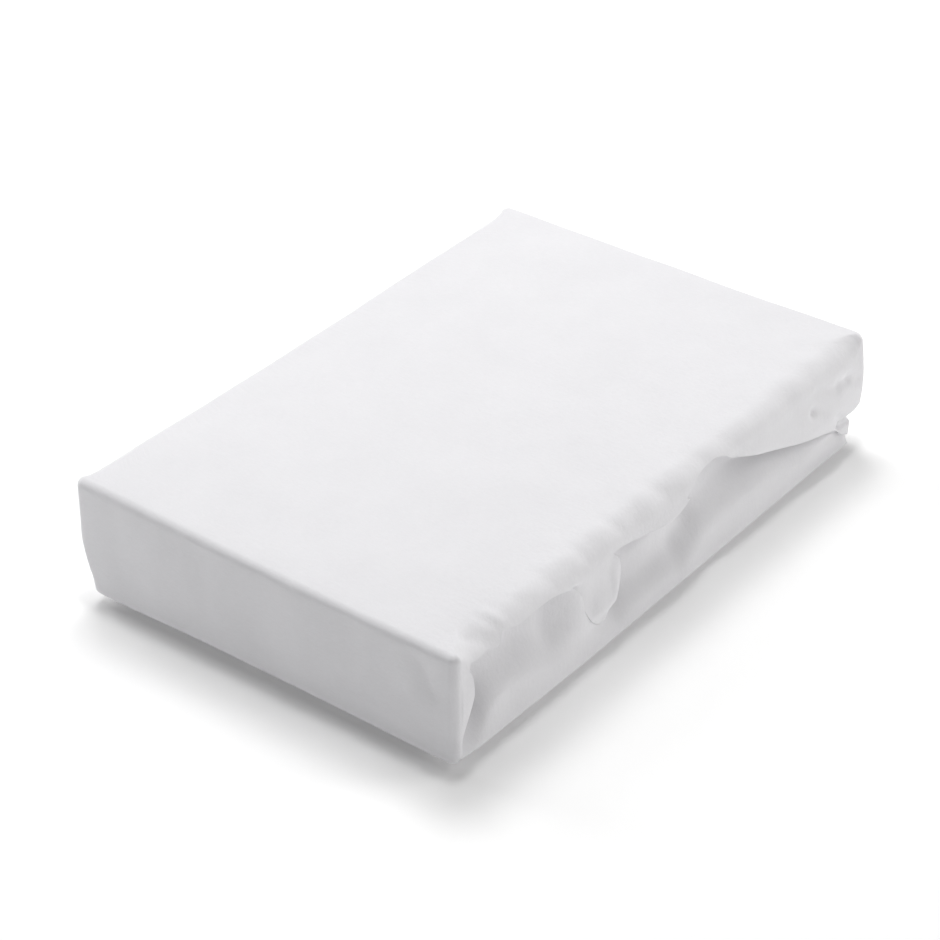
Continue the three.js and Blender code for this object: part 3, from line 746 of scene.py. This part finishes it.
    def recess(self, x, z):
        """How far in the open side's flap stands from the cover's outer face."""
        top = band_top(x)[1]
        above = smooth(z / HOLLOW_START)
        deep = BAND_LEAN * z * above + BAND_DEEP * ease(z - top, *BAND_RISE)
        less, at, wide, start, end = TONGUE_BACK
        deep *= 1 - less * bell(x - at, wide) * ease(z, start, end)
        deep = max(deep, BACK_RECESS[0] * ease(x, *BACK_RECESS[1:]) * above)
        for hx, hz, wide, tall, by in FLAP_HOLLOWS:
            deep += above * by * bell(x - hx, wide) * bell(z - hz, tall)
        return deep

    def foot_ring(self, place, ys, stands):
        """A row of the bottom ply from the top of its far foot to the top of its open foot."""
        x, z, ox, oz, run = place
        half = self.width / 2
        radius = mix(FLAP_FOOT, SIDE_FOOT, ease(x, FOOT_RADIUS, FOOT_EASE)) if stands else FLAP_FOOT
        lines = []
        for i in range(CORNER_STEPS + 1):
            a = (1 - i / CORNER_STEPS) * math.pi / 2
            out = radius * (1 - math.cos(a))
            lines.append((half - radius * (1 - math.sin(a)), out, math.sin(a), math.cos(a)))
        lines += [(y, 0.0, 0.0, 1.0) for y in ys]
        for y, out, ny, n in reversed(lines[: CORNER_STEPS + 1]):
            lines.append((-y, out, -ny, n))

        def point(line, deep):
            y, out, ny, n = line
            inward = 0.0
            if stands and ny < 0:
                inward = self.recess(x, out) * (1 - n)
            if stands and ny > 0:
                inward = -FAR_RECESS[0] * ease(out, *FAR_RECESS[1:])
            out += n * deep
            return x - self.length / 2 - ox * out, y + inward - ny * deep, z - oz * out

        flat_x = -self.length / 2 - run
        return [(point(line, 0), point(line, self.ply), (flat_x, line[0])) for line in lines]

    def under_lines(self):
        most = self.width / 2 - PLAN_CORNER - 1
        return [mix(most, -most, i / (UNDER_LINES - 1)) for i in range(UNDER_LINES)]

    def bottom(self, arc):
        """Makes the bottom ply on from the foot of the front. Gives its rows, their places and how
        much cloth was used before them."""
        front_ys = [self.sheet.outer[p][1] for p in arc[CORNER_STEPS + 1 : -CORNER_STEPS - 1]]
        rows = [arc]
        places = [(0.0, JOIN_HEIGHT)]
        run = self.front_drop

        def add(place, ys, stands):
            rows.append(self.sheet.row(self.foot_ring(place, ys, stands)))
            places.append((place[0], place[1]))

        for z in JOIN_ROWS:
            add((0.0, z, -1.0, 0.0, run + JOIN_HEIGHT - z), front_ys, False)
        run += JOIN_HEIGHT - FOOT_RADIUS
        for i in range(FOOT_STEPS + 1):
            a = i / FOOT_STEPS * math.pi / 2
            s, c = math.sin(a), math.cos(a)
            place = (FOOT_RADIUS * (1 - c), FOOT_RADIUS * (1 - s), -c, -s, run + FOOT_RADIUS * a)
            add(place, front_ys, False)
        run += FOOT_RADIUS * math.pi / 2 - FOOT_RADIUS
        for x in UNDER_ROWS:
            add((x, 0.0, 0.0, -1.0, run + x), front_ys, True)
        for a, b in zip(rows, rows[1:]):
            self.sheet.weave(a, b)
        ys = self.under_lines()
        wide = len(rows)
        count = round((FLAP_END - UNDER_START) / FLAP_STEP)
        for i in range(count + 1):
            x = mix(UNDER_START, FLAP_END, i / count)
            add((x, 0.0, 0.0, -1.0, run + x), ys, True)
        for a, b in zip(rows[wide:], rows[wide + 1 :]):
            self.sheet.weave(a, b)
        a, b = rows[wide - 1], rows[wide]
        places_a = [-self.sheet.flat[p][1] for p in a]
        places_b = [-self.sheet.flat[p][1] for p in b]
        self.sheet.spread(a, b, places_a, places_b)
        return rows, places, run

    def flaps(self, rows, places, run):
        """Makes the flaps that stand up from the bottom ply's two feet."""
        half = self.width / 2
        front = [i for i, (x, _) in enumerate(places) if x < FLAP_FRONT]
        for name, top, sign in (("open", OPEN_FLAP, -1), ("far", FAR_FLAP, 1)):
            base = [row[-1] if sign < 0 else row[0] for row in rows]
            count = FLAP_ROWS[name]
            below = base
            for r in range(1, count + 1):
                share = r / count
                points = []
                for i, p in enumerate(base):
                    bx = self.sheet.outer[p][0] + self.length / 2
                    bz = self.sheet.outer[p][2]
                    x, z = bx, mix(bz, top, share)
                    held = 0.0
                    if i in front:
                        x = mix(bx, mix(FLAP_FAN, FLAP_FRONT, i / len(front)), share)
                        held = 1 - smooth((z - bz) / 10)
                    if sign < 0:
                        inward = self.recess(x, z) - held * self.recess(x, bz)
                        by, at, wide, start, end = FLAP_LEAN
                        slide = by * bell(x - at, wide) * ease(z, start, end) * (1 - held)
                    else:
                        inward = FAR_RECESS[0] * (ease(z, *FAR_RECESS[1:]) - held)
                        inward = max(0.0, inward)
                        slide = 0.0
                    px = x + slide - self.length / 2
                    y = sign * (half - inward)
                    flat_x, flat_y = self.sheet.flat[p]
                    flat = (flat_x, flat_y + sign * (z - bz))
                    points.append(((px, y, z), (px, y - sign * self.ply, z), flat))
                above = self.sheet.row(points)
                if sign < 0:
                    self.sheet.weave(below[::-1], above[::-1])
                else:
                    self.sheet.weave(below, above)
                below = above

    # The folded plies

    def fold(self, path, end, z, to_back, bulb):
        sign = 1 if to_back else -1
        radius = bulb["radius"] if bulb else self.pitch / 2
        middle = z + self.pitch / 2
        centre = end - sign * (radius + self.ply / 2)
        if bulb:
            path.append((centre - sign * bulb["run"], z, sign, 0.0))
            low = (z + middle - radius) / 2
            path.append((centre - sign * bulb["run"] / 2, low, sign, bulb["slope"]))
        for i in range(FOLD_STEPS + 1):
            a = i / FOLD_STEPS * math.pi
            s, c = math.sin(a), math.cos(a)
            path.append((centre + sign * radius * s, middle - radius * c, sign * c, s))
        if bulb:
            high = (z + self.pitch + middle + radius) / 2
            path.append((centre - sign * bulb["run"] / 2, high, -sign, bulb["slope"]))
            path.append((centre - sign * bulb["run"], z + self.pitch, -sign, 0.0))

    def stack_path(self):
        path = []
        self.fold(path, BACK_FOLDS[0], self.ply / 2, True, None)
        for k in range(1, PASSES):
            to_back = k % 2 == 0
            n = k // 2
            z = self.ply / 2 + k * self.pitch
            tx = 1 if to_back else -1
            bulb = BULB if to_back and n == BULB["fold"] else None
            clear = bulb["radius"] + self.ply / 2 + bulb["run"] if bulb else self.pitch
            start = path[-1][0]
            last = k == PASSES - 1
            end = FREE_END if last else (BACK_FOLDS if to_back else FRONT_FOLDS)[n]
            stop = FREE_END if last else end - tx * clear
            for i in range(1, PASS_STEPS):
                path.append((mix(start, stop, i / PASS_STEPS), z, tx, 0.0))
            if last:
                path.append((stop, z, tx, 0.0))
            else:
                self.fold(path, end, z, to_back, bulb)
        return path

    def stack(self, last_row, run):
        """Makes the plies that go back and forth inside."""
        below = last_row
        far_end, open_end = self.width / 2 - STACK_INSET, OPEN_INSET - self.width / 2
        count = len(last_row)
        by, along, up, apart = PLY_WAVES
        before = None
        for x, z, tx, tz in self.stack_path():
            size = math.hypot(tx, tz)
            ox, oz = tz / size * self.ply / 2, -tx / size * self.ply / 2
            if before is not None:
                run += math.hypot(x - before[0], z - before[1])
            before = (x, z)
            points = []
            for i in range(count):
                share = i / (count - 1)
                y = mix(far_end, open_end, share)
                at_end = abs(2 * share - 1)
                spot = Vector((x / along, z / up, math.copysign(apart, y)))
                y += by * noise.noise(spot) * at_end
                px = x - self.length / 2
                flat = (-self.length / 2 - run, y)
                points.append(((px + ox, y, z + oz), (px - ox, y, z - oz), flat))
            above = self.sheet.row(points)
            self.sheet.weave(below, above)
            below = above

    def make(self):
        arc = self.cover()
        rows, places, run = self.bottom(arc)
        self.flaps(rows, places, run)
        self.stack(rows[-1], run + FLAP_END)
        return self.sheet


def cloth_mesh(sheet, packet, name):
    """A closed mesh of a sheet's two faces and its hem."""
    count = len(sheet.outer)
    outer = [Vector(packet.settle(p)) for p in sheet.outer]
    inner = [Vector(packet.settle(p)) for p in sheet.inner]
    seen = {}
    for face in sheet.faces:
        for a, b in zip(face, face[1:] + face[:1]):
            seen[(a, b)] = seen.get((a, b), 0) + 1
    rims = [(a, b) for a, b in seen if (b, a) not in seen]
    faces = list(sheet.faces)
    faces += [tuple(p + count for p in reversed(face)) for face in sheet.faces]
    faces += [(b, a, a + count, b + count) for a, b in rims]
    mesh = bpy.data.meshes.new(name)
    mesh.from_pydata([p * MM for p in outer + inner], [], faces)
    flat = mesh.uv_layers.new(name="cloth")
    for loop in mesh.loops:
        u, v = sheet.flat[loop.vertex_index % count]
        flat.data[loop.index].uv = (u * MM, v * MM)
    mesh.polygons.foreach_set("use_smooth", [True] * len(mesh.polygons))
    mesh.update()
    return mesh


# Materials


class Nodes:
    """Short ways to add and link a material's nodes."""

    def __init__(self, tree):
        self.tree = tree

    def add(self, kind, values=None, **settings):
        node = self.tree.nodes.new(kind)
        for name, value in settings.items():
            setattr(node, name, value)
        for socket, value in (values or {}).items():
            if isinstance(value, bpy.types.NodeSocket):
                self.tree.links.new(value, node.inputs[socket])
            else:
                node.inputs[socket].default_value = value
        return node

    def maths(self, operation, a, b=0.0):
        return self.add("ShaderNodeMath", {0: a, 1: b}, operation=operation).outputs[0]


def new_material(name):
    material = bpy.data.materials.new(name)
    material.use_nodes = True
    tree = material.node_tree
    tree.nodes.clear()
    nodes = Nodes(tree)
    shader = nodes.add("ShaderNodeBsdfPrincipled")
    nodes.add("ShaderNodeOutputMaterial", {"Surface": shader.outputs["BSDF"]})
    return material, nodes, shader


def brushed_cotton(sizes):
    """White cotton with a raised nap over a fine weave."""
    material, nodes, shader = new_material("brushed_cotton")
    place = nodes.add("ShaderNodeTexCoord").outputs["Object"]
    flat = nodes.add("ShaderNodeUVMap", uv_map="cloth").outputs["UV"]
    pitch = 1 / sizes.thread
    bands = []
    for direction in ("X", "Y"):
        wave = nodes.add(
            "ShaderNodeTexWave",
            {"Vector": flat, "Scale": pitch / 20, "Distortion": 0.6, "Detail": 1.0, "Detail Scale": 3.0},
            wave_type="BANDS",
            bands_direction=direction,
        )
        bands.append(wave.outputs["Fac"])
    weave = nodes.maths("MULTIPLY", *bands)
    nap = nodes.add(
        "ShaderNodeTexNoise",
        {"Vector": place, "Scale": 1400.0, "Detail": 3.0, "Roughness": 0.6, "Distortion": 0.4},
    ).outputs["Fac"]
    stretch = nodes.add(
        "ShaderNodeMapping", {"Vector": flat, "Scale": (1.0, 0.3, 1.0)}, vector_type="POINT"
    ).outputs["Vector"]
    fibres = nodes.add(
        "ShaderNodeTexNoise",
        {"Vector": stretch, "Scale": 900.0, "Detail": 2.0, "Roughness": 0.55, "Distortion": 0.8},
    ).outputs["Fac"]
    tufts = nodes.add(
        "ShaderNodeTexNoise", {"Vector": place, "Scale": 260.0, "Detail": 3.0, "Roughness": 0.5}
    ).outputs["Fac"]
    mottle = nodes.add(
        "ShaderNodeTexNoise", {"Vector": place, "Scale": 34.0, "Detail": 3.0, "Roughness": 0.5}
    ).outputs["Fac"]
    fluff = nodes.maths("ADD", nodes.maths("MULTIPLY", nap, 0.5), nodes.maths("MULTIPLY", fibres, 0.5))
    tone = nodes.maths("ADD", nodes.maths("MULTIPLY", fluff, 0.65), nodes.maths("MULTIPLY", mottle, 0.35))
    ramp = nodes.add("ShaderNodeValToRGB", {"Fac": tone})
    ramp.color_ramp.elements[0].position = 0.36
    ramp.color_ramp.elements[1].position = 0.62
    ramp.color_ramp.elements[0].color = (*sizes.cloth_shade, 1)
    ramp.color_ramp.elements[1].color = (*sizes.cloth_colour, 1)
    nodes.tree.links.new(ramp.outputs["Color"], shader.inputs["Base Color"])
    rough = nodes.add(
        "ShaderNodeMapRange",
        {"Value": fluff, "From Min": 0.3, "From Max": 0.7, "To Min": 0.88, "To Max": 1.0},
    )
    nodes.tree.links.new(rough.outputs["Result"], shader.inputs["Roughness"])
    height = nodes.maths("MULTIPLY", weave, 0.12)
    height = nodes.maths("ADD", height, nodes.maths("MULTIPLY", fluff, 0.5))
    height = nodes.maths("ADD", height, nodes.maths("MULTIPLY", tufts, 0.6))
    bump = nodes.add("ShaderNodeBump", {"Strength": 0.5, "Distance": 0.0005, "Height": height})
    nodes.tree.links.new(bump.outputs["Normal"], shader.inputs["Normal"])
    shader.inputs["Sheen Weight"].default_value = 0.18
    shader.inputs["Sheen Roughness"].default_value = 0.5
    shader.inputs["Specular IOR Level"].default_value = 0.2
    return material


def studio_white(sizes):
    """A matt white floor that is a little brighter than what falls on it."""
    material, nodes, shader = new_material("studio_floor")
    place = nodes.add("ShaderNodeTexCoord").outputs["Object"]
    cloud = nodes.add("ShaderNodeTexNoise", {"Vector": place, "Scale": 2.0, "Detail": 2.0}).outputs["Fac"]
    low = tuple(c * 0.995 for c in sizes.floor_colour)
    blend = nodes.add(
        "ShaderNodeMix", {0: cloud, 6: (*low, 1), 7: (*sizes.floor_colour, 1)}, data_type="RGBA"
    )
    nodes.tree.links.new(blend.outputs[2], shader.inputs["Base Color"])
    shader.inputs["Roughness"].default_value = 1.0
    shader.inputs["Specular IOR Level"].default_value = 0.0
    shader.inputs["Emission Color"].default_value = (1, 1, 1, 1)
    shader.inputs["Emission Strength"].default_value = sizes.floor_glow
    return material


class ProtectorSizes(bpy.types.PropertyGroup):
    """Sizes and colours of the protector and its studio."""

    length: FloatProperty(
        name="Length", description="Front to back of the neat packet", default=0.362, min=0.1, unit="LENGTH"
    )
    width: FloatProperty(
        name="Width",
        description="Open side to far side of the neat packet",
        default=0.24,
        min=0.1,
        unit="LENGTH",
    )
    height: FloatProperty(
        name="Height", description="Height of the neat packet", default=0.0695, min=0.03, unit="LENGTH"
    )
    ply: FloatProperty(
        name="Ply",
        description="Thickness of one ply of the folded cloth",
        default=0.0024,
        min=0.0005,
        unit="LENGTH",
    )
    hem: FloatProperty(
        name="Hem",
        description="Thickness of the cloth at its free edge",
        default=0.0011,
        min=0.0003,
        unit="LENGTH",
    )
    air: FloatProperty(
        name="Air", description="Room between two plies", default=0.00095, min=0.0001, unit="LENGTH"
    )
    thread: FloatProperty(
        name="Thread", description="Distance between two threads of the weave", default=0.00055, unit="LENGTH"
    )
    cloth_colour: FloatVectorProperty(
        name="Cloth",
        description="Colour of the nap where it is full",
        default=(0.788, 0.783, 0.803),
        subtype="COLOR",
    )
    cloth_shade: FloatVectorProperty(
        name="Cloth shade",
        description="Colour of the nap where it is thin",
        default=(0.75, 0.745, 0.765),
        subtype="COLOR",
    )
    floor_colour: FloatVectorProperty(
        name="Floor", description="Colour of the studio floor", default=(0.97, 0.97, 0.97), subtype="COLOR"
    )
    floor_glow: FloatProperty(
        name="Floor glow", description="Light that the floor adds of its own", default=0.068, min=0.0
    )
    lamps: FloatProperty(name="Lamps", description="Strength of all the lamps together", default=1.0, min=0.0)
    sky: FloatProperty(name="Sky", description="Strength of the white room", default=0.006, min=0.0)


class PROTECTOR_OT_cloth(bpy.types.Operator):
    """Makes the folded protector as one sheet of cloth"""

    bl_idname = "protector.cloth"
    bl_label = "Make the cloth"

    def execute(self, context):
        sizes = context.scene.protector
        packet = Packet(sizes)
        sheet = packet.make()
        cloth = bpy.data.objects.new("protector_cloth", cloth_mesh(sheet, packet, "protector_cloth"))
        context.scene.collection.objects.link(cloth)
        cloth.data.materials.append(brushed_cotton(sizes))
        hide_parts(NODE)
        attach(cloth, BODY)
        return {"FINISHED"}


def aim(obj, place, target):
    """Puts a lamp at a place, looking at a target."""
    place, target = Vector(place), Vector(target)
    turn = (place - target).to_track_quat("Z", "Y").to_matrix().to_4x4()
    obj.matrix_world = Matrix.Translation(place) @ turn


class PROTECTOR_OT_stage(bpy.types.Operator):
    """Makes the floor, the lamps, the room and the camera"""

    bl_idname = "protector.stage"
    bl_label = "Make the studio"

    # The camera that the packet was measured with: its place, its right and its up, and its lens
    CAMERA_PLACE = (-1.04518, -0.78153, 0.90536)
    CAMERA_RIGHT = (0.60479, -0.79639, 0.0)
    CAMERA_UP = (0.44404, 0.33721, 0.83013)
    CAMERA_LENS = 114.56
    CAMERA_SENSOR = 36.0
    SEES_TO = 50.0

    FLOOR_HALF = 12.0
    LAMPS_AIM = (0, 0, 0.03)

    # The lamps: name, degrees round from the back, degrees up, how far away, size, watts, tint
    LAMPS = (
        ("overhead_spot", 0, 90, 2.2, 0.22, 9.6, (1.0, 1.0, 1.0)),
        ("overhead_softbox", 0, 90, 2.2, 0.9, 2.7, (1.0, 1.0, 1.0)),
        ("high_softbox", 50, 62, 2.2, 1.0, 27.4, (1.0, 1.0, 1.0)),
        ("far_softbox", 90, 35, 2.4, 1.2, 16.4, (1.0, 1.0, 1.0)),
        ("open_softbox", 315, 35, 2.4, 1.2, 12.3, (1.0, 0.995, 0.985)),
        ("low_front_fill", 148, 15, 1.3, 0.6, 2.8, (1.0, 1.0, 1.0)),
        ("low_open_fill", 270, 12, 2.6, 0.9, 14.2, (1.0, 0.992, 0.978)),
        ("low_back_fill", 315, 12, 2.6, 0.9, 5.6, (1.0, 0.992, 0.978)),
    )

    def execute(self, context):
        sizes = context.scene.protector
        scene = context.scene
        self.floor(scene, sizes)
        for name, around, up, away, size, watts, tint in self.LAMPS:
            around, up = math.radians(around), math.radians(up)
            level = away * math.cos(up)
            place = (level * math.cos(around), level * math.sin(around), away * math.sin(up))
            self.lamp(scene, name, place, size, watts * sizes.lamps, tint)
        world = bpy.data.worlds.new("white_room")
        world.use_nodes = True
        sky = world.node_tree.nodes["Background"]
        sky.inputs["Color"].default_value = (1, 1, 1, 1)
        sky.inputs["Strength"].default_value = sizes.sky
        scene.world = world
        self.camera(scene)
        scene.view_settings.view_transform = "Standard"
        return {"FINISHED"}

    def floor(self, scene, sizes):
        half = self.FLOOR_HALF
        mesh = bpy.data.meshes.new("studio_floor")
        corners = [(-half, -half, 0), (half, -half, 0), (half, half, 0), (-half, half, 0)]
        mesh.from_pydata(corners, [], [(0, 1, 2, 3)])
        mesh.materials.append(studio_white(sizes))
        floor = bpy.data.objects.new("studio_floor", mesh)
        scene.collection.objects.link(floor)

    def lamp(self, scene, name, place, size, watts, tint):
        data = bpy.data.lights.new(name, "AREA")
        data.shape = "SQUARE"
        data.size = size
        data.energy = watts
        data.color = tint
        lamp = bpy.data.objects.new(name, data)
        scene.collection.objects.link(lamp)
        aim(lamp, place, self.LAMPS_AIM)

    def camera(self, scene):
        data = bpy.data.cameras.new("camera")
        data.lens = self.CAMERA_LENS
        data.sensor_width = self.CAMERA_SENSOR
        data.clip_end = self.SEES_TO
        camera = bpy.data.objects.new("camera", data)
        scene.collection.objects.link(camera)
        right, up = Vector(self.CAMERA_RIGHT), Vector(self.CAMERA_UP)
        axes = Matrix((right, up, right.cross(up))).transposed().to_4x4()
        camera.matrix_world = Matrix.Translation(Vector(self.CAMERA_PLACE)) @ axes
        scene.camera = camera


class PROTECTOR_PT_panel(bpy.types.Panel):
    """Lists what the protector is made of"""

    bl_idname = "PROTECTOR_PT_panel"
    bl_label = "Folded protector"
    bl_space_type = "VIEW_3D"
    bl_region_type = "UI"
    bl_category = "Protector"

    def draw(self, context):
        sizes = context.scene.protector
        for name in ProtectorSizes.__annotations__:
            self.layout.prop(sizes, name)
        for operator in OPERATORS:
            self.layout.operator(operator.bl_idname)


OPERATORS = (PROTECTOR_OT_cloth, PROTECTOR_OT_stage)
CLASSES = (ProtectorSizes, *OPERATORS, PROTECTOR_PT_panel)


def register():
    for cls in CLASSES:
        bpy.utils.register_class(cls)
    bpy.types.Scene.protector = PointerProperty(type=ProtectorSizes)


def unregister():
    del bpy.types.Scene.protector
    for cls in reversed(CLASSES):
        bpy.utils.unregister_class(cls)


def main():
    register()
    for operator in OPERATORS:
        group, name = operator.bl_idname.split(".")
        getattr(getattr(bpy.ops, group), name)()


if __name__ == "__main__":
    main()
